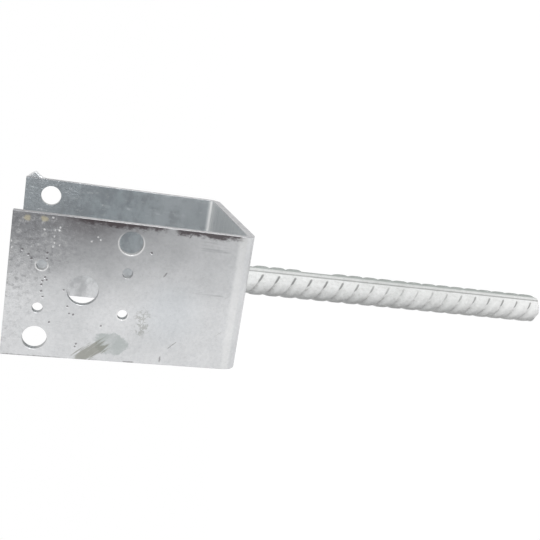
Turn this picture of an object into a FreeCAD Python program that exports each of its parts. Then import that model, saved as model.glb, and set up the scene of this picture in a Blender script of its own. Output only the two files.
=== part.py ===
import FreeCAD, Part
import os

# Timber post base: a U-shaped bracket folded from one strip of steel, with a ribbed anchor bar welded
# under its web, all hot-dip galvanised.  The bar is cast into concrete and the post stands in the U.
#
# Units are millimetres.  The origin is the centre of the seat, the upper face of the web on which the
# post stands.  +Z runs up along the legs, the bar hangs down along -Z, X runs along the strip's width
# and the two legs stand at -Y and +Y.

# ---- Driving dimensions: the folded strip ----
strip_width = 70.0         # along X
sheet = 4.0                # thickness of the strip
clear_width = 102.0        # between the legs: a 100 mm post and 1 mm of play a side
leg_height = 116.0         # from the web's underside to the free edge of a leg
bend_inner_radius = 3.0

# ---- Driving dimensions: the hole pattern, the same on both legs ----
pattern_below_edge = 35.0  # centre of the pattern below the free edge
through_hole_dia = 15.0    # the one large hole on the pattern's centre
screw_hole_dia = 11.5      # two, on one diagonal
screw_spacing_along = 40.0
screw_spacing_across = 51.0
nail_hole_dia = 5.0        # four, on the corners of a rectangle
nail_spacing_along = 40.0
nail_spacing_across = 21.0

# ---- Driving dimensions: the ribbed bar ----
bar_core_dia = 15.3        # between the ribs, on a bar of 16 mm nominal size
bar_length = 203.0         # below the web's underside
bar_end_tilt = 1.5         # degrees, the shear leaves the tip a little out of square
bar_end_roll = 1.2         # how far the sheared edge is rolled over into the core
rib_height = 1.2           # at the middle of a crescent
rib_crest_width = 4.0
rib_base_width = 4.5       # in the middle of a crescent, where the flanks meet the core
rib_end_dive = 0.2         # how far the ends of a crescent dive below the core's surface
rib_slant = 36.0           # degrees between a rib and the bar's cross-section
rib_pitch = 9.83
rib_row_turn = -117.7      # degrees about Z from +X to the middle of the first row
first_row_start = 11.0     # from the web's underside to the middle of the topmost rib
second_row_start = 16.2
skipped_ribs = (3, 4)      # places in the second row that the rolls leave blank as a marking
seam_rib_width = 1.8       # the two straight ribs between the rows
seam_rib_height = 1.0

# ---- Driving dimensions: the weld and the zinc run ----
weld_leg = 5.0             # leg of the fillet round the head of the bar
zinc_run_height = 3.8      # a frozen drip on the edge of the +Y leg, near its free corner
zinc_run_length = 12.0     # from the free edge to where it runs out
zinc_run_thickness = 3.2
zinc_run_tip_place = 5.4   # from the free edge to the tip
zinc_run_tip_radius = 0.9
zinc_run_hollow = 0.9      # how far its long side sinks below a straight line

# ---- Derived values ----
outer_width = clear_width + 2 * sheet
half_outer = outer_width / 2
half_clear = clear_width / 2
half_strip = strip_width / 2
web_under = -sheet
leg_top = leg_height - sheet
bend_outer_radius = bend_inner_radius + sheet
pattern_height = leg_top - pattern_below_edge
bar_core_radius = bar_core_dia / 2
bar_tip = web_under - bar_length
stock_length = bar_length + bar_core_dia  # the bar before it is sheared to length
cutter_reach = 3 * sheet   # long enough for a cutter to pass one leg from outside
tolerance = 1e-6

X_AXIS = FreeCAD.Vector(1, 0, 0)
Y_AXIS = FreeCAD.Vector(0, 1, 0)
Z_AXIS = FreeCAD.Vector(0, 0, 1)


def vec(x, y, z):
    return FreeCAD.Vector(x, y, z)


def polygon_face(points):
    return Part.Face(Part.makePolygon(points + points[:1]))


def edges_along_x(shape, y_size, z_height):
    """The edges of shape that run along X at the given distance from the middle and height."""
    found = []
    for edge in shape.Edges:
        box = edge.BoundBox
        straight = box.YLength < tolerance and box.ZLength < tolerance
        if straight and abs(abs(box.YMin) - y_size) < tolerance and abs(box.ZMin - z_height) < tolerance:
            found.append(edge)
    return found


def folded_strip():
    """The strip folded into a U, with its two bends and no holes."""
    block = Part.makeBox(strip_width, outer_width, leg_height, vec(-half_strip, -half_outer, web_under))
    block = block.makeFillet(bend_outer_radius, edges_along_x(block, half_outer, web_under))
    room = Part.makeBox(strip_width, clear_width, leg_height, vec(-half_strip, -half_clear, 0))
    room = room.makeFillet(bend_inner_radius, edges_along_x(room, half_clear, 0))
    return block.cut(room)


def leg_holes():
    """One cutter for each hole of the leg at -Y, long enough to pass that leg and nothing else."""
    places = [(0, 0, through_hole_dia)]
    for side in (-1, 1):
        places.append((side * screw_spacing_across / 2, -side * screw_spacing_along / 2, screw_hole_dia))
        for level in (-1, 1):
            places.append((side * nail_spacing_across / 2, level * nail_spacing_along / 2, nail_hole_dia))
    start = -half_outer - sheet
    return [
        Part.makeCylinder(diameter / 2, cutter_reach, vec(across, start, pattern_height + along), Y_AXIS)
        for across, along, diameter in places
    ]


def zinc_run():
    """A drip of zinc frozen on the strip's edge: straight towards the corner, hollow on its long side."""
    tip_height = leg_top - zinc_run_tip_place
    shoulder = half_strip + zinc_run_height - zinc_run_tip_radius
    root = half_strip - zinc_run_thickness / 2
    corner = vec(half_strip, 0, leg_top - zinc_run_tip_radius)
    upper_shoulder = vec(shoulder, 0, tip_height + zinc_run_tip_radius)
    tip = vec(half_strip + zinc_run_height, 0, tip_height)
    lower_shoulder = vec(shoulder, 0, tip_height - zinc_run_tip_radius)
    tail = vec(half_strip, 0, leg_top - zinc_run_length)
    hollow = (lower_shoulder + tail) / 2 - vec(zinc_run_hollow, 0, 0)
    outline = [
        Part.LineSegment(corner, upper_shoulder).toShape(),
        Part.Arc(upper_shoulder, tip, lower_shoulder).toShape(),
        Part.Arc(lower_shoulder, hollow, tail).toShape(),
    ]
    foot = Part.makePolygon([tail, vec(root, 0, tail.z), vec(root, 0, corner.z), corner])
    ridge = Part.Face(Part.Wire(outline + foot.Edges)).extrude(vec(0, zinc_run_thickness, 0))
    ridge.translate(vec(0, half_clear + (sheet - zinc_run_thickness) / 2, 0))
    return ridge


def make_bracket():
    near_leg = Part.Compound(leg_holes())
    far_leg = near_leg.copy()
    far_leg.rotate(vec(0, 0, 0), Z_AXIS, 180)
    return folded_strip().cut([near_leg, far_leg]).fuse(zinc_run())


def crescent_rib(row_turn, slant, depth_below_web):
    """One crescent rib: a slanting wall that a cylinder, set off the bar's axis, cuts to height.

    The rib is highest in the middle of its row and dives into the core before the straight ribs.
    """
    top = bar_core_radius + rib_height
    crest_half = rib_crest_width / 2
    root_half = crest_half + (rib_base_width - rib_crest_width) / 2 / rib_height * top
    section = polygon_face([
        vec(0, -top, -root_half), vec(top, -top, -crest_half),
        vec(top, -top, crest_half), vec(0, -top, root_half),
    ])
    rib = section.extrude(vec(0, 2 * top, 0))
    rib.rotate(vec(0, 0, 0), X_AXIS, slant)
    crest = Part.makeCylinder(bar_core_radius - rib_end_dive, 4 * top, vec(0, 0, -2 * top))
    crest.rotate(vec(0, 0, 0), Z_AXIS, 180)
    crest.translate(vec(rib_height + rib_end_dive, 0, 0))
    rib = rib.common(crest)
    rib.rotate(vec(0, 0, 0), Z_AXIS, row_turn)
    rib.translate(vec(0, 0, web_under - depth_below_web))
    return rib


def rib_row(row_turn, slant, start, skipped):
    """All ribs of one row, down to the end of the stock."""
    count = int((stock_length - start) / rib_pitch)
    return [
        crescent_rib(row_turn, slant, start + number * rib_pitch)
        for number in range(count) if number not in skipped
    ]


def seam_ribs():
    """The two straight ribs that run between the rows, from the weld down to the end of the stock."""
    reach = 2 * (bar_core_radius + seam_rib_height)
    corner = vec(-reach / 2, -seam_rib_width / 2, web_under - stock_length)
    slab = Part.makeBox(reach, seam_rib_width, stock_length - weld_leg, corner)
    slab.rotate(vec(0, 0, 0), Z_AXIS, rib_row_turn + 90)
    return slab


def shear_offcut():
    """What the shear takes off: all below its plane, and the edge that it rolls over."""
    flat = bar_core_radius - bar_end_roll
    reach = 2 * (bar_core_radius + rib_height)
    section = polygon_face([
        vec(0, 0, -reach), vec(0, 0, 0), vec(flat, 0, 0), vec(reach, 0, reach - flat), vec(reach, 0, -reach),
    ])
    offcut = section.revolve(vec(0, 0, 0), Z_AXIS, 360)
    offcut.rotate(vec(0, 0, 0), X_AXIS, bar_end_tilt)
    offcut.translate(vec(0, 0, bar_tip))
    return offcut


def make_anchor_bar():
    core = Part.makeCylinder(bar_core_radius, stock_length, vec(0, 0, web_under - stock_length))
    core.rotate(vec(0, 0, 0), Z_AXIS, rib_row_turn + 90)
    first = rib_row(rib_row_turn, -rib_slant, first_row_start, ())
    second = rib_row(rib_row_turn + 180, rib_slant, second_row_start, skipped_ribs)
    plain_head = Part.makeCylinder(2 * bar_core_radius, weld_leg, vec(0, 0, web_under - weld_leg))
    ribs = [rib.cut(plain_head) for rib in first + second]
    return core.multiFuse([seam_ribs()] + ribs).cut(shear_offcut())


def make_weld_bead():
    """The fillet weld round the head of the bar, under the web."""
    section = polygon_face([
        vec(bar_core_radius, 0, web_under), vec(bar_core_radius + weld_leg, 0, web_under),
        vec(bar_core_radius, 0, web_under - weld_leg),
    ])
    return section.revolve(vec(0, 0, 0), Z_AXIS, 360)


def export(name, shape):
    if not shape.isValid():
        raise ValueError(name + " is not a valid shape")
    shape.exportStep("parts/" + name + ".step")
    print(name, "solids", len(shape.Solids), "faces", len(shape.Faces), "volume", round(shape.Volume, 1))


def main():
    os.makedirs("parts", exist_ok=True)
    bracket = make_bracket()
    anchor_bar = make_anchor_bar()
    weld_bead = make_weld_bead()
    export("bracket", bracket)
    export("anchor_bar", anchor_bar)
    export("weld_bead", weld_bead)


main()
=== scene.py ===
"""Looks of a timber post base: a folded bracket, a ribbed anchor bar and its weld, hot-dip galvanised.

Everything is in metres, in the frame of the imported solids: the seat's centre is the origin, the legs
rise along +Z and stand at -Y and +Y, and the bar hangs down along -Z.  Only the finishes reckon in
millimetres, and they say so.
"""

import logging
import math
from dataclasses import dataclass
from enum import Enum
from typing import ClassVar

import bmesh
import bpy
from mathutils import Matrix, Vector


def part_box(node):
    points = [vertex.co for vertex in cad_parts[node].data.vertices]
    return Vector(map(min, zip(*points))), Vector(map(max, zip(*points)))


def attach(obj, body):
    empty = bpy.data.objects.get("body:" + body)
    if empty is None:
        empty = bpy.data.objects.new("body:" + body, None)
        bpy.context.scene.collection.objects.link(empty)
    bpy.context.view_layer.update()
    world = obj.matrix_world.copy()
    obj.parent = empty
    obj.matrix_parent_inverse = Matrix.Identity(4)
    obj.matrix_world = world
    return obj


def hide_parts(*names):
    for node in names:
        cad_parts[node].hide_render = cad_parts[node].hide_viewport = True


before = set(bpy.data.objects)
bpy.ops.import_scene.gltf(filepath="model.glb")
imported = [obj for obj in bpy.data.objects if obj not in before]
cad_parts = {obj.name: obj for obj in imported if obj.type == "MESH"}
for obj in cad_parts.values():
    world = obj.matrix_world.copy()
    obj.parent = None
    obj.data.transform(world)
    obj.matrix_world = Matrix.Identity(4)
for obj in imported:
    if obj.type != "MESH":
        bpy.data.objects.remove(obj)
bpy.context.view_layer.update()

LOG = logging.getLogger("post_base")
MM = 0.001
MERGE = 0.001 * MM  # points that lie closer than this are one
X_AXIS = Vector((1, 0, 0))
Z_AXIS = Vector((0, 0, 1))
WHITE = (1.0, 1.0, 1.0, 1.0)

HALF_STRIP = 35 * MM  # from the strip's middle to its edges
HALF_OUTER = 55 * MM  # from the middle to the outer faces of the legs
SHEET = 4 * MM  # thickness of the strip
LEG_TOP = 112 * MM  # the free edges of the legs
WEB_UNDER = -SHEET  # the web's underside, where the bar and its weld start
CORE_RADIUS = 7.65 * MM  # of the bar, between its ribs

Colour = tuple[float, float, float, float]
Spot = tuple[float, float]


# ---- material tools ----


class Value:
    """A socket inside a node tree, on which sums can be written out."""

    def __init__(self, graph: "Graph", socket: bpy.types.NodeSocket) -> None:
        """Wraps one output socket of a tree."""
        self.graph = graph
        self.socket = socket

    def __add__(self, other: "Value | float") -> "Value":
        """This value plus another."""
        return self.math("ADD", other)

    def __radd__(self, other: float) -> "Value":
        """A number plus this value."""
        return self.graph.math("ADD", other, self)

    def __sub__(self, other: "Value | float") -> "Value":
        """This value less another."""
        return self.math("SUBTRACT", other)

    def __rsub__(self, other: float) -> "Value":
        """A number less this value."""
        return self.graph.math("SUBTRACT", other, self)

    def __mul__(self, other: "Value | float") -> "Value":
        """This value times another."""
        return self.math("MULTIPLY", other)

    def __rmul__(self, other: float) -> "Value":
        """A number times this value."""
        return self.graph.math("MULTIPLY", other, self)

    def __truediv__(self, other: "Value | float") -> "Value":
        """This value divided by another."""
        return self.math("DIVIDE", other)

    def __rtruediv__(self, other: float) -> "Value":
        """A number divided by this value."""
        return self.graph.math("DIVIDE", other, self)

    def __abs__(self) -> "Value":
        """This value without its sign."""
        return self.math("ABSOLUTE")

    def math(self, operation: str, other: "Value | float" = 0.0) -> "Value":
        """A Math node on this value and another."""
        return self.graph.math(operation, self, other)

    def step(self, low: float, high: float) -> "Value":
        """A smooth step that is 0 at low and 1 at high; high may be the lesser of the two."""
        sockets = {"Value": self, "From Min": low, "From Max": high}
        return self.graph.node("ShaderNodeMapRange", {"interpolation_type": "SMOOTHSTEP"}, sockets)

    def band(self, middle: float, out: float, within: float) -> "Value":
        """A smooth band about a middle: 0 where the value is out of it and 1 within."""
        return abs(self - middle).step(out, within)

    def mixed(self, share: "Value | float", other: "Value | Colour") -> "Value":
        """This colour, mixed with a share of another."""
        return self.graph.blend(share, self, other)

    def vector(self, operation: str, other: "Value | tuple") -> "Value":
        """A Vector Math node that makes a vector of this one and another."""
        return self.graph.node("ShaderNodeVectorMath", {"operation": operation}, {0: self, 1: other})

    def measure(self, operation: str, other: tuple = (0.0, 0.0, 0.0)) -> "Value":
        """A Vector Math node that makes a number of this vector and another, such as their distance."""
        return self.graph.node("ShaderNodeVectorMath", {"operation": operation}, {0: self, 1: other}, "Value")

    def parts(self) -> "list[Value]":
        """The x, y and z of this vector."""
        split = self.graph.add("ShaderNodeSeparateXYZ", inputs={0: self})
        return [Value(self.graph, socket) for socket in split.outputs]

    def flat(self) -> "Value":
        """This place with its y set to 0."""
        return self.vector("MULTIPLY", (1.0, 0.0, 1.0))

    def noise(self, scale: float | tuple, detail: float = 3.0, rough: float = 0.5) -> "Value":
        """A noise from 0 to 1 at this place.

        Args:
            scale: cells per unit of the place, one number for all axes or three.
            detail: octaves.
            rough: weight of the finer octaves.

        Returns:
            The noise's value.
        """
        spot = self.vector("MULTIPLY", scale if isinstance(scale, tuple) else (scale,) * 3)
        sockets = {"Vector": spot, "Scale": 1.0, "Detail": detail, "Roughness": rough}
        return self.graph.node("ShaderNodeTexNoise", {"noise_dimensions": "3D"}, sockets)

    def warped(self, scale: float, reach: float) -> "Value":
        """This place moved about by a noise, so that outlines drawn with it turn ragged.

        Args:
            scale: cells per unit of the place.
            reach: how far it moves.

        Returns:
            The moved place.
        """
        sockets = {"Vector": self, "Scale": scale, "Detail": 3.0, "Roughness": 0.6}
        shift = self.graph.node("ShaderNodeTexNoise", {"noise_dimensions": "3D"}, sockets, "Color")
        shift = shift.vector("SUBTRACT", (0.5, 0.5, 0.5))
        return self.vector("ADD", shift.vector("MULTIPLY", (reach, reach, reach)))


def widest(masks: list[Value]) -> Value:
    """The greatest of several masks.

    Args:
        masks: one mask or more, of the same tree.

    Returns:
        Their maximum at each spot.
    """
    found = masks[0]
    for mask in masks[1:]:
        found = found.math("MAXIMUM", mask)
    return found


class Graph:
    """A node tree that is written as expressions."""

    def __init__(self, tree: bpy.types.NodeTree) -> None:
        """Empties a material's or world's tree, ready for new nodes."""
        self.tree = tree
        tree.nodes.clear()

    def add(self, kind: str, settings: dict | None = None, inputs: dict | None = None) -> bpy.types.Node:
        """Adds a node.

        Args:
            kind: the node's type.
            settings: properties of the node, which are set first.
            inputs: values or links, by socket name or number.

        Returns:
            The new node.
        """
        made = self.tree.nodes.new(kind)
        for name, value in (settings or {}).items():
            setattr(made, name, value)
        for name, value in (inputs or {}).items():
            if isinstance(value, Value):
                self.tree.links.new(value.socket, made.inputs[name])
            else:
                made.inputs[name].default_value = value
        return made

    def node(
        self, kind: str, settings: dict | None = None, inputs: dict | None = None, output: int | str = 0
    ) -> Value:
        """Adds a node, as add does, and hands back the output of the given name or number."""
        return Value(self, self.add(kind, settings, inputs).outputs[output])

    def math(self, operation: str, first: Value | float, second: Value | float) -> Value:
        """A Math node on two values."""
        return self.node("ShaderNodeMath", {"operation": operation}, {0: first, 1: second})

    def blend(self, share: Value | float, first: Value | Colour, second: Value | Colour) -> Value:
        """A colour between two others."""
        # A Mix node repeats the names of its sockets, so its colours go by number.
        sockets = {0: share, 6: first, 7: second}
        return self.node("ShaderNodeMix", {"data_type": "RGBA", "clamp_factor": True}, sockets, 2)

    def white_rays(self) -> Value:
        """A mask of the rays that show the surroundings: seen, mirrored or passed on.

        Returns:
            The mask, which is 1 for such rays.
        """
        rays = self.add("ShaderNodeLightPath").outputs
        names = ("Is Camera Ray", "Is Glossy Ray", "Is Transmission Ray")
        return widest([Value(self, rays[name]) for name in names])


@dataclass(frozen=True)
class Oval:
    """An oval patch on a leg: its middle and its half axes as (x, z), in millimetres."""

    middle: Spot
    radii: Spot

    def spread(self, place: Value) -> Value:
        """Distance from the middle in half axes, so that 1 lies on the outline."""
        local = place.vector("SUBTRACT", (self.middle[0], 0.0, self.middle[1]))
        return local.vector("MULTIPLY", (1 / self.radii[0], 0.0, 1 / self.radii[1])).measure("LENGTH")


@dataclass(frozen=True)
class Stroke:
    """A straight stroke on a leg between two (x, z) places, in millimetres."""

    start: Spot
    end: Spot
    width: float

    def mask(self, flat: Value) -> Value:
        """Draws the stroke with soft edges.

        Args:
            flat: where on the leg, with a y of 0, in millimetres.

        Returns:
            A mask that is 1 on the stroke.
        """
        way = Vector((self.end[0] - self.start[0], 0, self.end[1] - self.start[1]))
        heading = way.normalized()
        local = flat.vector("SUBTRACT", (self.start[0], 0, self.start[1]))
        along = local.measure("DOT_PRODUCT", tuple(heading))
        off = abs(local.measure("DOT_PRODUCT", (-heading.z, 0, heading.x)))
        start = along.step(-self.width, self.width)
        end = along.step(way.length + self.width, way.length - self.width)
        return start * end * off.step(self.width, 0.0)


@dataclass(frozen=True)
class Dots:
    """Soft round dots on a leg at (x, z) places, in millimetres."""

    radius: float
    places: tuple[Spot, ...]

    def mask(self, flat: Value, grown: float = 0.0) -> Value:
        """Draws the dots.

        Args:
            flat: where on the leg, with a y of 0, in millimetres.
            grown: by how much their radius is larger here.

        Returns:
            A mask that is 1 within the dots.
        """
        radius = self.radius + grown
        away = [flat.measure("DISTANCE", (x, 0, z)) for x, z in self.places]
        return widest([distance.step(radius, radius * 0.4) for distance in away])


# ---- the rolled ribs ----


@dataclass(frozen=True)
class RibRow:
    """One row of crescent ribs on the bar, which both the bar's shape and its finish follow."""

    turn: float  # degrees about the bar to the row's middle
    slant: float  # degrees between a rib and the bar's cross-section
    start: float  # from the web's underside to the middle of the topmost rib
    skipped: tuple[int, ...] = ()  # ribs that the rolls leave out as a marking
    pitch: float = 9.83 * MM
    core_radius: float = CORE_RADIUS
    curve: float = 0.5  # how a rib winds: 0 as a flat slanting cut, 1 as a screw's thread

    @property
    def rise(self) -> float:
        """How far a rib climbs along the bar for one radian about it."""
        return math.tan(math.radians(self.slant)) * self.core_radius

    def off(self, angle: float) -> float:
        """Degrees from the row's middle to an angle about the bar, from -180 to 180."""
        return (angle - self.turn + 180) % 360 - 180

    def phase(self, angle: float, depth: float) -> tuple[int, float]:
        """Finds the rib nearest to a spot on the bar.

        Args:
            angle: degrees about the bar's axis.
            depth: distance below the web's underside.

        Returns:
            The rib's number, and how far across it the spot lies.
        """
        turn = math.radians(self.off(angle))
        bow = (1 - self.curve) * math.sin(turn) + self.curve * turn
        along = depth - self.start + self.rise * bow
        number = round(along / self.pitch)
        return number, (along - number * self.pitch) * math.cos(math.radians(self.slant))

    def traced_off(self, angle: Value) -> Value:
        """The same as off, in a material."""
        return (angle - (self.turn - 180.0)).math("FLOORED_MODULO", 360.0) - 180.0

    def traced(self, off: Value, depth: Value) -> tuple[Value, Value]:
        """The same as phase, in a material and in millimetres.

        Args:
            off: degrees from the row's middle.
            depth: distance below the web's underside.

        Returns:
            A mask that is 1 where the row has a rib, and how far across it the spot lies.
        """
        turn = off * math.radians(1)
        bow = turn.math("SINE") * (1 - self.curve) + turn * self.curve
        along = depth - self.start / MM + bow * (self.rise / MM)
        number = (along / (self.pitch / MM)).math("ROUND")
        away = (along - number * (self.pitch / MM)) * math.cos(math.radians(self.slant))
        there = number.step(-1.0, 0.0)
        for skipped in self.skipped:
            there = there * number.band(skipped, 0.0, 1.0)
        return there, away


FIRST_ROW = RibRow(-117.7, -36.0, 11.8 * MM)
SECOND_ROW = RibRow(62.3, 36.0, 16.8 * MM, (3, 4))
ROWS = (FIRST_ROW, SECOND_ROW)


# ---- finishes ----


class Slot(Enum):
    """The record's material slots."""

    SHEET = "galvanised_sheet"
    BAR = "galvanised_bar"
    WELD = "galvanised_weld"


@dataclass(frozen=True)
class Zinc:
    """A hot-dip galvanised finish.

    The base carries what every dipped piece shows: broad clouds, fine grain and an uneven skin.  Its
    places are in millimetres and its heights in skin depths.
    """

    slot: Slot
    pale: Colour = (0.74, 0.745, 0.755, 1.0)
    deep: Colour = (0.60, 0.61, 0.62, 1.0)
    metallic: float = 0.85
    roughness: float = 0.38
    gloss_range: float = 0.16  # between the glossiest and the dullest spots
    skin_depth: float = 0.2 * MM
    bump_strength: float = 0.5
    lump_height: float = 2.0
    grain_height: float = 0.6

    def colour(self, place: Value) -> Value:
        """The zinc's colour over the piece.

        Args:
            place: where on the object.

        Returns:
            The colour.
        """
        clouds = place.noise(0.05, 4.0).step(0.3, 0.7)
        grain = place.noise(0.7, 4.0, 0.7).step(0.3, 0.7)
        return place.graph.blend(clouds * 0.5 + grain * 0.5, self.pale, self.deep)

    def relief(self, place: Value) -> Value:
        """The height of the zinc's skin at a place."""
        lumps = place.noise(0.12) * self.lump_height
        return lumps + place.noise(0.8, 4.0, 0.6) * self.grain_height

    def gloss(self, place: Value) -> Value:
        """The roughness at a place."""
        return place.noise(0.2) * self.gloss_range + (self.roughness - self.gloss_range / 2)

    def build(self) -> bpy.types.Material:
        """Makes the material.

        Returns:
            The material, ready for a slot.
        """
        material = bpy.data.materials.new(self.slot.value)
        material.use_nodes = True
        graph = Graph(material.node_tree)
        object_place = graph.node("ShaderNodeTexCoord", output="Object")
        place = object_place.vector("MULTIPLY", (1 / MM, 1 / MM, 1 / MM))
        height = self.relief(place)
        bump = {"Strength": self.bump_strength, "Distance": self.skin_depth, "Height": height}
        dressed = {
            "Base Color": self.colour(place),
            "Metallic": self.metallic,
            "Roughness": self.gloss(place),
            "Normal": graph.node("ShaderNodeBump", inputs=bump),
        }
        shader = graph.node("ShaderNodeBsdfPrincipled", inputs=dressed)
        graph.add("ShaderNodeOutputMaterial", inputs={"Surface": shader})
        return material


@dataclass(frozen=True)
class SheetZinc(Zinc):
    """The bracket's zinc, with dross, smears and stains where they set, and painted shade and painted
    highlights where light falls.

    Places are in millimetres; those given as (x, z) lie on the -Y leg.
    """

    # near-black for scratches, pits, a dark cloud and the painted shade band along the +X edge
    soil_and_shade: Colour = (0.060, 0.048, 0.052, 1.0)
    # dark grey for mottling, brush marks and the painted shade that darkens the legs
    grey_grime_and_shade: Colour = (0.14, 0.143, 0.152, 1.0)
    mottle: Colour = (0.10, 0.10, 0.105, 1.0)
    # blue-grey of the painted shade inside the U
    inner_shade: Colour = (0.345, 0.378, 0.398, 1.0)
    brushed: Colour = (0.66, 0.68, 0.69, 1.0)
    # dark grey of the painted shade on the hole walls
    wall: Colour = (0.30, 0.31, 0.31, 1.0)
    sheared: Colour = (0.46, 0.46, 0.47, 1.0)
    olive: Colour = (0.22, 0.22, 0.175, 1.0)
    wiped: Colour = (0.38, 0.42, 0.41, 1.0)
    bluish: Colour = (0.50, 0.56, 0.61, 1.0)
    bright: Colour = (0.92, 0.92, 0.91, 1.0)
    rust: Colour = (0.50, 0.45, 0.30, 1.0)

    outer_face: float = HALF_OUTER / MM
    inner_face: float = (HALF_OUTER - SHEET) / MM
    side_edge: float = HALF_STRIP / MM
    free_edge: float = LEG_TOP / MM

    dark_cloud: Oval = Oval((34.0, 78.0), (12.0, 20.0))
    smear: Oval = Oval((-25.8, 60.5), (5.8, 8.2))
    smear_tail: Stroke = Stroke((-26.0, 64.0), (-36.5, 77.0), 6.4)
    tail_turn: float = 41.0  # degrees about Y that the streaks in the tail lean
    scribbled: Oval = Oval((-14.0, 46.6), (8.5, 5.0))
    cool_patch: Oval = Oval((-8.0, 34.0), (22.0, 22.0))
    gap_in_edge_shade: float = 38.5  # height at which the painted shade band along the edge is broken
    brushed_height: float = 16.0
    # The x of a brushed column's middle, and how far from it the streaks end and are strongest.
    brushed_columns: tuple[tuple[float, float, float], ...] = ((4.0, 3.5, 1.0), (28.0, 5.5, 2.0))
    bend_glint: float = 2.2  # height of the painted highlight line along the bend
    dross_full: float = 116.0  # height at which the dross lies thickest

    scratches: tuple[Stroke, ...] = (
        Stroke((-30.6, 36.0), (-33.4, 35.9), 0.75),
        Stroke((12.8, 38.2), (10.6, 39.6), 0.5),
        Stroke((-22.4, 28.9), (-26.0, 32.6), 0.32),
        Stroke((33.6, 28.4), (31.2, 29.8), 0.6),
        Stroke((-34.7, 53.9), (-34.7, 48.9), 0.8),
        Stroke((-34.9, 111.0), (-34.9, 84.0), 0.6),
    )
    pits: Dots = Dots(0.68, (
        (17.1, 106.2), (15.2, 103.4), (13.3, 101.8), (16.5, 94.9), (14.0, 94.9), (4.8, 94.8), (3.5, 94.1),
        (2.9, 96.0), (1.0, 96.2), (-2.1, 96.0), (-4.8, 95.1), (-0.6, 85.8), (-8.5, 83.3), (-12.1, 82.2),
        (-12.5, 80.3), (-16.9, 66.6), (-17.2, 91.0), (-27.1, 77.4), (-28.6, 77.8), (22.0, 46.9),
    ))
    pimples: Dots = Dots(0.55, (
        (27.5, 97.4), (27.7, 92.6), (29.2, 90.5), (27.7, 90.8), (24.6, 92.7), (21.7, 92.4), (20.8, 90.0),
        (24.2, 75.6), (25.4, 71.6), (26.7, 72.8), (17.5, 111.0), (20.5, 111.3), (19.8, 92.8), (33.5, 94.0),
    ))
    stains: Dots = Dots(2.0, ((32.1, 105.3), (32.5, 97.7)))
    rim_highlights: tuple[tuple[float, float, float], ...] = (  # painted highlights on hole rims, by hole (x, z, radius)
        (25.5, 57.0, 5.75), (10.5, 97.0, 2.5), (-10.5, 57.0, 2.5),
    )

    def colour(self, place: Value) -> Value:
        """The zinc's colour over the bracket.

        Args:
            place: where on the bracket.

        Returns:
            The colour.
        """
        base = self.within(place, super().colour(place))
        outer = self.marks(place, self.smears(place, self.shade_and_dross(place, base)))
        base = base.mixed(self.front(place), outer)
        return self.cut_faces(place, base)

    def front(self, place: Value) -> Value:
        """A mask that is 1 on the outer face of the leg at -Y."""
        return place.parts()[1].step(0.7 - self.outer_face, 0.2 - self.outer_face)

    def drift(self, place: Value) -> Value:
        """Broad unevenness from -0.5 to 0.5, which frays the borders of the painted shade and the dross."""
        return place.noise((0.07, 0.07, 0.05), 4.0, 0.6) - 0.5

    def dross(self, place: Value, start: float) -> Value:
        """A mask of the dross that set towards one corner of the leg, from a height upwards."""
        x, _, z = place.parts()
        return (x * 0.6 + z + self.drift(place) * 40.0).step(start, self.dross_full)

    def rough_flat(self, place: Value) -> Value:
        """Where on the leg, with a y of 0, moved a little so that small marks aren't quite regular."""
        return place.warped(0.9, 0.9).flat()

    def within(self, place: Value, base: Value) -> Value:
        """The inside of the U: painted shade, darker and bluer towards +X, scuffs, and brushed streaks across
        the web over a painted reflection on the web and inner bends.

        Args:
            place: where on the bracket.
            base: the colour so far.

        Returns:
            The colour.
        """
        x, y, z = place.parts()
        coarse = self.drift(place)
        inside = abs(y).step(self.inner_face + 0.7, self.inner_face + 0.2) * z.step(-0.5, -0.1)
        end_share = (z + coarse * 30.0).step(20.0, 60.0)
        # painted shade: the inside is darker and bluer, more so towards +X and up the legs
        dull = (x + coarse * 20.0).step(-34.0, 2.0) * (0.78 + end_share * 0.2)
        base = base.mixed(inside * dull, self.inner_shade)
        clouds = place.noise((0.09, 0.09, 0.13), 5.0, 0.65).step(0.42, 0.66)
        base = base.mixed(inside * clouds * z.step(2.0, 30.0) * 0.36, self.grey_grime_and_shade)
        scuffs = place.noise((0.28, 0.1, 0.12), 6.0, 0.7).step(0.54, 0.70)
        base = base.mixed(inside * scuffs * 0.32, self.brushed)
        dim = (z + coarse * 30.0).step(66.0, 92.0) * x.step(-5.0, 14.0)
        base = base.mixed(inside * dim * 0.30, self.grey_grime_and_shade)
        wander = place.warped(0.1, 6.0).noise(0.12, 2.0)
        scraped = wander.band(0.5, 0.022, 0.004) * z.step(45.0, 60.0) * scuffs
        base = base.mixed(inside * scraped * 0.38, self.bright)
        # painted reflection over the web and the inner bends, broken by real brushed streaks
        web = inside * z.step(3.5, 1.0)
        streaks = place.noise((0.03, 0.6, 0.03), 4.0, 0.7).step(0.3, 0.75)
        return base.mixed(web * (streaks * 0.4 + 0.55), self.bright)

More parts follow.
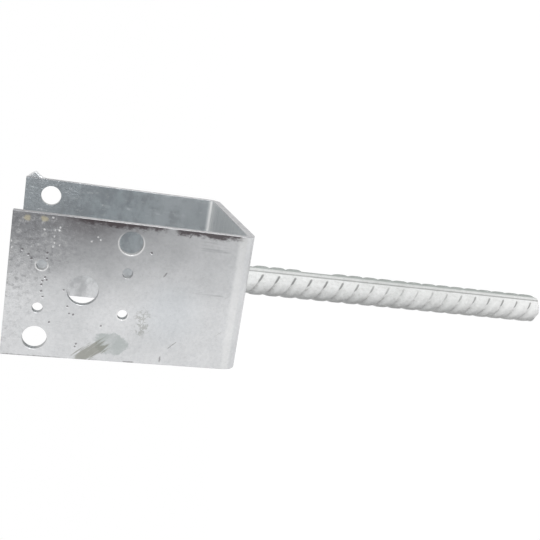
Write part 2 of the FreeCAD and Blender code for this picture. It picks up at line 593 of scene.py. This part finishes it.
    def shade_and_dross(self, place: Value, base: Value) -> Value:
        """Painted grey shade on the -Y leg that thickens towards the +X edge and the free end, with a painted
        dark band along that edge and the dross that set towards the free end.

        Args:
            place: where on the bracket.
            base: the colour so far.

        Returns:
            The colour.
        """
        x, _, z = place.parts()
        coarse = self.drift(place)
        fine = place.noise((0.30, 0.30, 0.16), 5.0, 0.7) - 0.5
        dust = place.noise((1.1, 1.1, 0.8), 4.0, 0.75) - 0.5
        # painted shade: the leg darkens towards the +X edge, more towards the free end
        reach = (z + coarse * 24.0).step(-22.0, 84.0) * 0.75 + 0.25
        ragged = x + coarse * 14.0 + fine * 8.0 + dust * 4.0
        base = base.mixed(ragged.step(-14.0, 38.0) * reach * 0.84, self.grey_grime_and_shade)
        # more painted shade near +X towards the free end
        high = ragged.step(-12.0, 26.0) * (z + coarse * 26.0).step(62.0, 96.0)
        base = base.mixed(high * 0.26, self.grey_grime_and_shade)
        cloud = self.dark_cloud.spread(place) + fine * 0.8 + dust * 0.5
        base = base.mixed(cloud.step(1.0, 0.25) * 0.34, self.soil_and_shade)
        dross = self.dross(place, 78.0)
        crystals = place.warped(0.4, 3.0).noise((0.42, 0.42, 0.34), 6.0, 0.78)
        base = base.mixed(dross * crystals.step(0.50, 0.62) * 0.42, self.mottle)
        base = base.mixed(dross * crystals.step(0.47, 0.36) * 0.20, self.bright)
        speckle = place.noise((0.9, 0.9, 0.7), 5.0, 0.8).step(0.52, 0.64)
        base = base.mixed(speckle * 0.10, self.mottle)
        # painted shade: a dark band along the +X edge, broken near the bend and at one height
        edge_shade = (x + fine * 8.0 + dust * 5.0).step(self.side_edge - 3.4, self.side_edge - 0.7)
        edge_shade = edge_shade * (z + fine * 12.0).step(95.0, 76.0) * z.step(1.0, 5.0)
        edge_shade = edge_shade * z.band(self.gap_in_edge_shade, 0.5, 4.0)
        return base.mixed(edge_shade * 0.9, self.soil_and_shade)

    def smears(self, place: Value, base: Value) -> Value:
        """What was wiped over the -Y leg while it was wet.

        Args:
            place: where on the bracket.
            base: the colour so far.

        Returns:
            The colour.
        """
        spot = place.warped(0.25, 7.0)
        patches = place.noise((0.25, 0.25, 0.2), 5.0, 0.7).step(0.3, 0.6)
        wipe = self.smear.spread(spot.warped(1.2, 1.6)).step(1.05, 0.85)
        base = base.mixed(wipe * (patches * 0.35 + 0.32), self.wiped)
        turned = {"Vector": place, "Rotation": (0.0, math.radians(self.tail_turn), 0.0)}
        streaked = place.graph.node("ShaderNodeMapping", {"vector_type": "POINT"}, turned)
        combed = streaked.noise((1.1, 0.2, 0.10)) - 0.5
        tail = self.smear_tail.mask(place.warped(0.2, 3.0).flat())
        base = base.mixed((tail + combed * 2.0).step(0.34, 0.66) * 0.66, self.olive)
        lines = place.noise(0.22, 3.0, 0.6).band(0.5, 0.045, 0.015)
        scribble = self.scribbled.spread(spot).step(1.0, 0.6) * lines
        base = base.mixed(scribble * 0.42, self.olive)
        cool = self.cool_patch.spread(spot).step(1.0, 0.2)
        return base.mixed(cool * 0.20, self.bluish)

    def marks(self, place: Value, base: Value) -> Value:
        """Scratches, pits, pimples, stains, and painted highlights on the hole rims and along the bend, on
        the -Y leg.

        Args:
            place: where on the bracket.
            base: the colour so far.

        Returns:
            The colour.
        """
        x, _, z = place.parts()
        flat = self.rough_flat(place)
        scratched = widest([scratch.mask(flat) for scratch in self.scratches])
        base = base.mixed(scratched * 0.6, self.soil_and_shade)
        bristles = place.noise((1.3, 1.3, 0.04), 3.0, 0.6).step(0.5, 0.66)
        columns = widest([x.band(middle, out, core) for middle, out, core in self.brushed_columns])
        brush = z.band(self.brushed_height, 9.0, 5.0) * bristles * columns
        base = base.mixed(brush * 0.28, self.grey_grime_and_shade)
        base = base.mixed(self.pits.mask(flat) * 0.66, self.soil_and_shade)
        blotched = place.warped(0.35, 2.6).flat()
        base = base.mixed(self.stains.mask(blotched) * 0.55, self.rust)
        base = base.mixed(self.pimples.mask(flat) * 0.48, self.bright)
        # painted highlight on the -X half of each hole's rim
        for rim_x, rim_z, radius in self.rim_highlights:
            far = place.flat().measure("DISTANCE", (rim_x, 0.0, rim_z)) - radius
            rim = far.step(0.9, 0.35) * x.step(rim_x + radius, rim_x)
            base = base.mixed(rim * 0.5, self.bright)
        # painted highlight line along the bend
        return base.mixed(z.band(self.bend_glint, 3.6, 1.2) * 0.30, self.bright)

    def cut_faces(self, place: Value, base: Value) -> Value:
        """The sheared edges of the strip, and painted shade on the walls of its holes.

        Args:
            place: where on the bracket.
            base: the colour so far.

        Returns:
            The colour.
        """
        x, y, z = place.parts()
        across, along = abs(y), abs(x)
        rough = place.warped(0.5, 2.0).noise((0.5, 0.5, 0.35), 5.0, 0.7)
        edge = along.step(self.side_edge - 0.3, self.side_edge - 0.05)
        edge = edge * along.step(self.side_edge + 0.4, self.side_edge + 0.1)
        base = base.mixed(edge * 0.9, self.sheared)
        base = base.mixed(edge * rough.step(0.48, 0.64) * 0.55, self.grey_grime_and_shade)
        base = base.mixed(edge * (z + rough * 30.0).step(90.0, 112.0) * 0.5, self.grey_grime_and_shade)
        # painted shade on the walls of the holes
        hole_wall_shade = across.step(self.inner_face + 0.1, self.inner_face + 0.6)
        hole_wall_shade = hole_wall_shade * across.step(self.outer_face - 0.1, self.outer_face - 0.5)
        hole_wall_shade = hole_wall_shade * along.step(self.side_edge - 0.4, self.side_edge - 1.0)
        hole_wall_shade = hole_wall_shade * z.step(self.free_edge - 0.4, self.free_edge - 1.0) * z.step(4.0, 5.0)
        return base.mixed(hole_wall_shade * 0.85, self.wall)

    def relief(self, place: Value) -> Value:
        """The height of the bracket's skin.

        Args:
            place: where on the bracket.

        Returns:
            The height.
        """
        flat = self.rough_flat(place)
        marks = self.pimples.mask(flat, 0.25) - self.pits.mask(flat, 0.12) * 1.6
        combed = place.noise((1.4, 1.4, 0.06), 3.0, 0.6) * 0.35
        ripples = place.warped(0.3, 4.0).noise((0.45, 0.45, 0.22), 5.0, 0.7)
        dross = self.dross(place, 70.0) * ripples * 4.0
        return super().relief(place) + marks * self.front(place) + combed + dross


@dataclass(frozen=True)
class BarZinc(Zinc):
    """The bar's zinc, thicker and paler, with painted shade in the slits and painted highlight lines along
    its ribs, and painted light towards the tip.

    Places are in millimetres and angles in degrees.
    """

    pale: Colour = (0.80, 0.805, 0.80, 1.0)
    deep: Colour = (0.64, 0.65, 0.64, 1.0)
    # dark colour of the painted shade in the slits and beside the seam ribs
    slit_shade: Colour = (0.12, 0.125, 0.12, 1.0)
    # colour of the painted highlight lines and of the painted light towards the tip
    line: Colour = (0.97, 0.97, 0.96, 1.0)
    grime: Colour = (0.28, 0.27, 0.25, 1.0)
    dull: Colour = (0.35, 0.38, 0.36, 1.0)
    metallic: float = 0.08
    roughness: float = 0.72
    head: float = WEB_UNDER / MM
    slit_away: float = 1.7  # from a rib's middle to the painted shade in the slit under its steep face
    highlight_away: float = 1.9  # to the painted highlight line there, in the middle of the row
    root_away: float = 2.4  # to the grime along its root
    seam_half: float = 1.2  # from a seam rib's middle to the fine line of painted shade beside it
    sheared_end: float = -203.6  # where the torn skin of the tip starts

    def crust(self, place: Value) -> Value:
        """The coarse grain of the thick zinc, from 0 to 1."""
        return place.warped(0.6, 1.5).noise((0.55, 0.55, 0.30), 6.0, 0.75)

    def colour(self, place: Value) -> Value:
        """The zinc's colour over the bar.

        Args:
            place: where on the bar.

        Returns:
            The colour.
        """
        x, y, z = place.parts()
        depth = self.head - z
        angle = y.math("ARCTAN2", x) * math.degrees(1)
        crust = self.crust(place)
        base = super().colour(place)
        base = base.mixed(crust.step(0.48, 0.62) * 0.18, self.grime)
        # painted light: the bar is brighter towards its tip
        base = base.mixed(depth.step(90.0, 230.0) * 0.5, self.line)
        for row in ROWS:
            base = self.along_ribs(row, row.traced_off(angle), depth, crust, base)
        # a darker band 45 to 74 degrees to the negative side of the second row's middle
        off = SECOND_ROW.traced_off(angle)
        darker_band = off.step(-91.0, -74.0) * off.step(-5.0, -45.0)
        return base.mixed(darker_band * 0.86, self.dull)

    def along_ribs(self, row: RibRow, off: Value, depth: Value, crust: Value, base: Value) -> Value:
        """The painted shade in the slits, the painted highlight lines and the grime along one row's ribs, and
        the fine lines of painted shade beside the seam ribs.

        Args:
            row: the row of ribs.
            off: degrees from the row's middle.
            depth: distance below the web's underside.
            crust: the coarse grain.
            base: the colour so far.

        Returns:
            The colour.
        """
        side = abs(off)
        there, away = row.traced(off, depth)
        there = there * side.step(88.0, 84.0)
        # painted shade in the slits under the ribs' steep faces, stronger near the head and near the tip
        shade_strength = depth.step(115.0, 60.0) * 0.6 + depth.step(120.0, 170.0) * 0.5
        lens = side.step(24.0, 42.0) * side.step(75.0, 64.0)
        slit_shade = (abs(away - self.slit_away) - lens * 0.6).step(0.25, -0.2)
        base = base.mixed(there * slit_shade * lens * (shade_strength * 0.8 + 0.2), self.slit_shade)
        # painted highlight line on the lit flank, in the middle of the row
        line = side.step(44.0, 28.0) * away.band(self.highlight_away, 0.9, 0.3)
        base = base.mixed(there * line * (depth.step(30.0, 90.0) * 0.6 + 0.3), self.line)
        root = side.step(42.0, 20.0) * away.band(self.root_away, 1.1, 0.2)
        base = base.mixed(there * root * crust.step(0.44, 0.56) * 0.35, self.grime)
        # painted shade in fine lines at the foot of the seam ribs, with their crests a little duller
        seam = abs(side - 90.0) * (math.radians(1) * row.core_radius / MM)
        base = base.mixed(seam.band(self.seam_half, 0.30, 0.05) * 0.30, self.slit_shade)
        return base.mixed(seam.step(1.5, 0.3) * 0.10, self.dull)

    def relief(self, place: Value) -> Value:
        """The height of the bar's skin.

        Args:
            place: where on the bar.

        Returns:
            The height.
        """
        torn = place.parts()[2].step(self.sheared_end, self.sheared_end - 1.2)
        ridges = place.noise((0.9, 0.9, 0.25), 3.0, 0.6)
        return super().relief(place) + self.crust(place) * 1.2 + torn * ridges * 5.0


# ---- the steel pieces ----


def edges_in(items: list) -> list[bmesh.types.BMEdge]:
    """The edges among the items that a bmesh operator hands back."""
    return [item for item in items if isinstance(item, bmesh.types.BMEdge)]


def verts_in(items: list) -> list[bmesh.types.BMVert]:
    """The vertices among the items that a bmesh operator hands back."""
    return [item for item in items if isinstance(item, bmesh.types.BMVert)]


def clamped(share: float) -> float:
    """A share kept between 0 and 1."""
    return min(max(share, 0.0), 1.0)


class SteelPiece:
    """A piece of the post base: build shapes it, and dress gives it its zinc and puts it in the scene."""

    name: ClassVar[str]
    node: ClassVar[str]  # the solid that the piece stands for

    def build(self) -> bmesh.types.BMesh:
        """Shapes the piece; every piece has its own way."""
        raise NotImplementedError

    def dress(self, finish: Zinc) -> bpy.types.Object:
        """Makes the piece in its place, and lets it stand for its solid.

        Args:
            finish: the zinc that it wears.

        Returns:
            The new object.
        """
        mesh = self.build()
        data = bpy.data.meshes.new(self.name)
        mesh.to_mesh(data)
        mesh.free()
        data.shade_smooth()
        data.materials.append(finish.build())
        piece = bpy.data.objects.new(self.name, data)
        bpy.context.scene.collection.objects.link(piece)
        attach(piece, "root")
        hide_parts(self.node)
        return piece


@dataclass
class Bracket(SteelPiece):
    """The strip folded into a U, with its punched holes and the zinc run on one edge."""

    name: ClassVar[str] = "bracket_skin"
    node: ClassVar[str] = "bracket"

    half_strip: float = HALF_STRIP
    half_outer: float = HALF_OUTER
    sheet: float = SHEET
    web_under: float = WEB_UNDER
    leg_top: float = LEG_TOP
    bend_radius: float = 7 * MM  # of the bends' outer face
    bend_steps: int = 12
    pattern_height: float = 77 * MM  # of the hole pattern's middle
    through_radius: float = 7.5 * MM
    screw_radius: float = 5.75 * MM
    screw_place: Spot = (-25.5 * MM, 20 * MM)  # (x, z) from the pattern's middle
    nail_radius: float = 2.5 * MM
    nail_place: Spot = (10.5 * MM, 20 * MM)
    hole_segments: int = 64
    rim_round: float = 0.2 * MM  # of every sheared or punched edge
    rim_steps: int = 3
    rim_angle: float = math.radians(60)  # an edge that turns by more is such an edge
    run_outline: tuple[Spot, ...] = (  # the frozen drip's (x, z), in millimetres
        (33.6, 111.3), (35.6, 111.2), (37.4, 109.2), (38.5, 107.6), (38.75, 106.9), (38.3, 106.0),
        (36.9, 104.6), (35.8, 102.6), (35.1, 100.2), (33.6, 99.6),
    )
    run_thickness: float = 3.2 * MM
    run_round: float = 1.1 * MM
    run_steps: int = 4

    def holes(self) -> list[tuple[float, float, float]]:
        """Lists the holes of the leg at -Y.

        Returns:
            The x, z and radius of each.
        """
        screw_x, screw_z = self.screw_place
        nail_x, nail_z = self.nail_place
        found = [(0.0, 0.0, self.through_radius)]
        for side in (-1, 1):
            found.append((side * screw_x, side * screw_z, self.screw_radius))
            found += [(side * nail_x, level * nail_z, self.nail_radius) for level in (-1, 1)]
        return [(x, self.pattern_height + z, radius) for x, z, radius in found]

    def leg(self, mesh: bmesh.types.BMesh, turn: int) -> None:
        """Adds the outer skin of one leg, with its holes.

        Args:
            mesh: the bmesh to add to.
            turn: 1 for the leg at -Y, -1 for the leg at +Y, which is the same one turned half round.
        """
        bend_top = self.web_under + self.bend_radius
        corners = [(-1, bend_top), (1, bend_top), (1, self.leg_top), (-1, self.leg_top)]
        rim = [mesh.verts.new((side * self.half_strip, -turn * self.half_outer, z)) for side, z in corners]
        edges = [mesh.edges.new((rim[i], rim[i - 1])) for i in range(len(rim))]
        upright = Matrix.Rotation(math.pi / 2, 4, "X")
        for x, z, radius in self.holes():
            place = Matrix.Translation((turn * x, -turn * self.half_outer, z)) @ upright
            ring = bmesh.ops.create_circle(mesh, segments=self.hole_segments, radius=radius, matrix=place)
            edges += dict.fromkeys(edge for vert in ring["verts"] for edge in vert.link_edges)
        bmesh.ops.triangle_fill(mesh, use_beauty=True, edges=edges, normal=(0, -turn, 0))

    def bend(
        self, mesh: bmesh.types.BMesh, line: list[bmesh.types.BMEdge], middle: float
    ) -> list[bmesh.types.BMEdge]:
        """Spins a line across the strip through a quarter turn.

        Args:
            mesh: the bmesh to add to.
            line: the line's edges.
            middle: the y of the bend's centre.

        Returns:
            The line at the end of the bend.
        """
        spun = bmesh.ops.spin(
            mesh, geom=line + list(line[0].verts), cent=(0, middle, self.web_under + self.bend_radius),
            axis=X_AXIS, angle=math.pi / 2, steps=self.bend_steps,
        )
        return edges_in(spun["geom_last"])

    def web(self, mesh: bmesh.types.BMesh) -> None:
        """Adds the outer skin of the web and both bends, from the leg at -Y to the one at +Y.

        Args:
            mesh: the bmesh to add to.
        """
        bend_top = self.web_under + self.bend_radius
        middle = self.half_outer - self.bend_radius
        start = [mesh.verts.new((side * self.half_strip, -self.half_outer, bend_top)) for side in (-1, 1)]
        line = self.bend(mesh, [mesh.edges.new(start)], -middle)
        grown = bmesh.ops.extrude_edge_only(mesh, edges=line)["geom"]
        ends = verts_in(grown)
        bmesh.ops.translate(mesh, verts=ends, vec=(0, 2 * middle, 0))
        line = [edge for edge in edges_in(grown) if all(vert in ends for vert in edge.verts)]
        self.bend(mesh, line, middle)

    def zinc_run(self, mesh: bmesh.types.BMesh) -> None:
        """Adds the drip that froze on the +Y leg's edge.

        Args:
            mesh: the bmesh to add to.
        """
        low = self.half_outer - (self.sheet + self.run_thickness) / 2
        outline = [mesh.verts.new((x * MM, low, z * MM)) for x, z in self.run_outline]
        face = mesh.faces.new(outline)
        top = verts_in(bmesh.ops.extrude_face_region(mesh, geom=[face])["geom"])
        bmesh.ops.translate(mesh, verts=top, vec=(0, self.run_thickness, 0))
        shell = dict.fromkeys(linked for vert in outline + top for linked in vert.link_faces)
        bmesh.ops.recalc_face_normals(mesh, faces=list(shell))
        edges = dict.fromkeys(edge for face in shell for edge in face.edges)
        bmesh.ops.bevel(
            mesh, geom=[edge for edge in edges if edge.calc_face_angle() > self.rim_angle],
            offset=self.run_round, segments=self.run_steps, profile=0.5, affect="EDGES", material=-1,
        )

    def build(self) -> bmesh.types.BMesh:
        """Shapes the bracket: its outer skin first, then the wall, the softened rims and the drip.

        Returns:
            The bracket's mesh.
        """
        mesh = bmesh.new()
        self.leg(mesh, 1)
        self.leg(mesh, -1)
        self.web(mesh)
        bmesh.ops.remove_doubles(mesh, verts=mesh.verts, dist=MERGE)
        bmesh.ops.recalc_face_normals(mesh, faces=mesh.faces)
        bmesh.ops.solidify(mesh, geom=mesh.faces[:], thickness=self.sheet)
        bmesh.ops.recalc_face_normals(mesh, faces=mesh.faces)
        folds = [edge for edge in mesh.edges if len(edge.link_faces) == 2]
        bmesh.ops.bevel(
            mesh, geom=[edge for edge in folds if edge.calc_face_angle() > self.rim_angle],
            offset=self.rim_round, segments=self.rim_steps, profile=0.5, affect="EDGES", material=-1,
        )
        self.zinc_run(mesh)
        return mesh

    def dress(self, finish: Zinc) -> bpy.types.Object:
        """Makes the piece, shaded so that its flat faces look flat up to their rims.

        Args:
            finish: the zinc that it wears.

        Returns:
            The bracket's object.
        """
        piece = super().dress(finish)
        smooth = piece.modifiers.new("flat faces stay flat", "WEIGHTED_NORMAL")
        smooth.weight = 100
        return piece


@dataclass
class AnchorBar(SteelPiece):
    """The ribbed bar: two rows of crescent ribs between two straight seam ribs."""

    name: ClassVar[str] = "anchor_bar_skin"
    node: ClassVar[str] = "anchor_bar"

    core_radius: float = CORE_RADIUS
    head: float = WEB_UNDER
    tip: float = -207 * MM
    rib_height: float = 1.35 * MM  # in the middle of a crescent
    rib_dive: float = 0.2 * MM  # how far a crescent's ends lie below the core's surface
    crest_half: float = 1.3 * MM  # half the width of a rib's flat crest
    back_run: float = 3.0 * MM  # width of the gentle flank, towards the bracket
    face_run: float = 0.9 * MM  # width of the steep flank, towards the tip
    seam_half: float = 1.0 * MM  # half the width of a seam rib's crest
    seam_run: float = 0.4 * MM  # width of its flanks
    seam_height: float = 0.95 * MM
    tip_tilt: float = 1.5  # degrees that the shear left the tip out of square
    tip_round: float = 1.5 * MM  # how far the sheared edge is rolled over
    tip_short: float = 0.1 * MM  # keeps the skin's end within the solid's
    spare: float = 2 * MM  # what the shear cuts off
    around: int = 144  # faces round the bar
    along: int = 620  # faces along it

    def rib_rise(self, angle: float, depth: float) -> float:
        """How far the bar's surface stands above its core.

        Args:
            angle: degrees about the bar's axis.
            depth: distance below the web's underside.

        Returns:
            The rise in metres.
        """
        rise = 0.0
        for row in ROWS:
            off = math.radians(row.off(angle))
            crest = (self.rib_height + self.rib_dive) * math.cos(off) - self.rib_dive
            number, away = row.phase(angle, depth)
            if crest > 0 and number >= 0 and number not in row.skipped:
                run = self.face_run if away > 0 else self.back_run
                share = clamped((self.crest_half + run - abs(away)) / run)
                rise = max(rise, crest * share * share * (3 - 2 * share))
            seam = (math.pi / 2 - abs(off)) * self.core_radius
            share = clamped((self.seam_half + self.seam_run - abs(seam)) / self.seam_run)
            rise = max(rise, self.seam_height * share)
        return rise

    def rolled_over(self, left: float) -> float:
        """How far the surface sinks near the tip, with this much of the bar left."""
        near = max(1 - left / self.tip_round, 0)
        return self.tip_round * (1 - math.sqrt(max(1 - near ** 2, 0)))

    def build(self) -> bmesh.types.BMesh:
        """Shapes the bar: a sheet rolled round the axis, raised where ribs stand, and sheared at its tip.

        Returns:
            The bar's mesh.
        """
        mesh = bmesh.new()
        bmesh.ops.create_grid(mesh, x_segments=self.around, y_segments=self.along, size=0.5)
        length = self.head - self.tip + self.spare
        tilt = self.core_radius * math.tan(math.radians(self.tip_tilt))
        for vert in mesh.verts:
            angle = vert.co.x * 360
            depth = (0.5 - vert.co.y) * length
            turn = math.radians(angle)
            left = self.head - depth - self.tip - tilt * math.sin(turn)
            radius = self.core_radius + self.rib_rise(angle, depth) - self.rolled_over(left)
            vert.co = Vector((radius * math.cos(turn), radius * math.sin(turn), self.head - depth))
        bmesh.ops.remove_doubles(mesh, verts=mesh.verts, dist=MERGE)
        square = Matrix.Rotation(math.radians(self.tip_tilt), 3, "X") @ Z_AXIS
        cut = bmesh.ops.bisect_plane(
            mesh, geom=mesh.verts[:] + mesh.edges[:] + mesh.faces[:],
            plane_co=(0, 0, self.tip + self.tip_short), plane_no=-square, clear_outer=True,
        )
        bmesh.ops.contextual_create(mesh, geom=edges_in(cut["geom_cut"]))
        bmesh.ops.recalc_face_normals(mesh, faces=mesh.faces)
        return mesh


@dataclass
class WeldBead(SteelPiece):
    """The fillet weld round the head of the bar, laid down in overlapping drops."""

    name: ClassVar[str] = "weld_bead_skin"
    node: ClassVar[str] = "weld_bead"

    root_radius: float = 7.55 * MM  # just inside the bar's core
    leg: float = 5.0 * MM  # of the fillet
    web_under: float = WEB_UNDER
    bulge: float = 0.35 * MM  # of the bead beyond a flat fillet
    ripple: float = 0.16 * MM  # of the drops
    drops: int = 31
    drop_lean: float = 1.6  # how far each drop lags in the middle of the bead, in radians
    waver: float = 0.4  # share of a slow swell round the bead
    waves: int = 5
    around: int = 248  # faces round the bead
    across: int = 14  # faces across it

    def build(self) -> bmesh.types.BMesh:
        """Shapes the bead: a sheet rolled into a cone round the bar, swollen and rippled.

        Returns:
            The bead's mesh.
        """
        mesh = bmesh.new()
        bmesh.ops.create_grid(mesh, x_segments=self.around, y_segments=self.across, size=0.5)
        for vert in mesh.verts:
            turn, share = vert.co.x * math.tau, vert.co.y + 0.5
            swell = math.sin(math.pi * share)
            drop = math.sin(turn * self.drops + self.drop_lean * swell)
            drop += self.waver * math.sin(turn * self.waves)
            out = swell * (self.bulge + self.ripple * drop) / math.sqrt(2)
            radius = self.root_radius + share * self.leg + out
            height = self.web_under - self.leg * (1 - share) - out
            vert.co = Vector((radius * math.cos(turn), radius * math.sin(turn), height))
        bmesh.ops.remove_doubles(mesh, verts=mesh.verts, dist=MERGE)
        bmesh.ops.recalc_face_normals(mesh, faces=mesh.faces)
        return mesh


# ---- the studio ----


@dataclass(frozen=True)
class Lamp:
    """A soft square lamp that faces the seat's centre."""

    name: str
    place: Vector
    size: float  # of a side
    power: float  # in watts

    def hang(self) -> None:
        """Adds the lamp to the scene."""
        data = bpy.data.lights.new(self.name, "AREA")
        data.shape = "SQUARE"
        data.size = self.size
        data.energy = self.power
        lamp = bpy.data.objects.new(self.name, data)
        bpy.context.scene.collection.objects.link(lamp)
        lamp.location = self.place
        lamp.rotation_mode = "QUATERNION"
        lamp.rotation_quaternion = (-self.place).to_track_quat("-Z", "Y")


@dataclass
class Studio:
    """Camera, lamps, white surroundings and the floor."""

    camera_place: Vector = Vector((105.27, -417.16, 92.54)) * MM
    forward: Vector = Vector((-0.220924, 0.936323, -0.272930))
    up: Vector = Vector((0.961011, 0.256704, 0.102764))
    lens: float = 51.15  # focal length and film width in millimetres
    film_width: float = 36.0
    clip: tuple[float, float] = (0.01, 50.0)
    lamps: tuple[Lamp, ...] = (
        Lamp("key", Vector((0.64, -0.60, -0.14)), 0.45, 8.5),
        Lamp("fill", Vector((-0.60, 0.70, 0.05)), 0.45, 4.0),
    )
    soft_light: Colour = (0.315, 0.317, 0.32, 1.0)  # what the surroundings cast on the object
    floor_reach: float = 3.0  # from the floor's middle to its edges
    floor_drop: float = 0.5 * MM  # below the bar's tip
    floor_colour: Colour = (0.8, 0.8, 0.8, 1.0)
    floor_white: float = 0.95  # share of plain white, the rest shows the shadow
    floor_glow: float = 1.04  # makes up for what the shadowed share takes away

    def camera(self) -> None:
        """Sets the camera up and makes it the scene's."""
        data = bpy.data.cameras.new("camera")
        data.lens = self.lens
        data.sensor_width = self.film_width
        data.clip_start, data.clip_end = self.clip
        camera = bpy.data.objects.new("camera", data)
        bpy.context.scene.collection.objects.link(camera)
        right = self.forward.cross(self.up).normalized()
        back = -self.forward.normalized()
        turned = Matrix((right, back.cross(right), back)).transposed().to_4x4()
        camera.matrix_world = Matrix.Translation(self.camera_place) @ turned
        bpy.context.scene.camera = camera

    def surroundings(self) -> None:
        """Fills the world: white where it is seen or mirrored, a plain soft light elsewhere."""
        world = bpy.data.worlds.new("surroundings")
        bpy.context.scene.world = world
        world.use_nodes = True
        graph = Graph(world.node_tree)
        colour = graph.blend(graph.white_rays(), self.soft_light, WHITE)
        light = graph.node("ShaderNodeBackground", inputs={"Color": colour, "Strength": 1.0})
        graph.add("ShaderNodeOutputWorld", inputs={"Surface": light})

    def floor_material(self) -> bpy.types.Material:
        """Makes the floor white where it is seen or mirrored, but for the shadow, and pale elsewhere.

        Returns:
            The material.
        """
        material = bpy.data.materials.new("floor")
        material.use_nodes = True
        graph = Graph(material.node_tree)
        matt = graph.node("ShaderNodeBsdfDiffuse", inputs={"Color": self.floor_colour})
        glow = graph.node("ShaderNodeEmission", inputs={"Color": WHITE, "Strength": self.floor_glow})
        share = graph.white_rays() * self.floor_white
        mixed = graph.node("ShaderNodeMixShader", inputs={0: share, 1: matt, 2: glow})
        graph.add("ShaderNodeOutputMaterial", inputs={"Surface": mixed})
        return material

    def floor(self) -> None:
        """Lays the pale floor under the bar's tip."""
        mesh = bmesh.new()
        bmesh.ops.create_grid(mesh, x_segments=1, y_segments=1, size=self.floor_reach)
        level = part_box("anchor_bar")[0].z - self.floor_drop
        bmesh.ops.translate(mesh, verts=mesh.verts, vec=(0, 0, level))
        data = bpy.data.meshes.new("floor")
        mesh.to_mesh(data)
        mesh.free()
        data.materials.append(self.floor_material())
        floor = bpy.data.objects.new("floor", data)
        bpy.context.scene.collection.objects.link(floor)

    def build(self) -> None:
        """Sets the whole studio up."""
        self.camera()
        self.surroundings()
        self.floor()
        for lamp in self.lamps:
            lamp.hang()
        bpy.context.scene.view_settings.view_transform = "Standard"


def main() -> None:
    """Builds the studio and every piece in order, and reports each piece."""
    logging.basicConfig(level=logging.INFO, format="%(name)s %(message)s")
    Studio().build()
    dressed = (
        (Bracket(), SheetZinc(Slot.SHEET)),
        (AnchorBar(), BarZinc(Slot.BAR)),
        (WeldBead(), Zinc(Slot.WELD)),
    )
    for steel, finish in dressed:
        piece = steel.dress(finish)
        LOG.info("%s: %d faces", piece.name, len(piece.data.polygons))


if __name__ == "__main__":
    main()
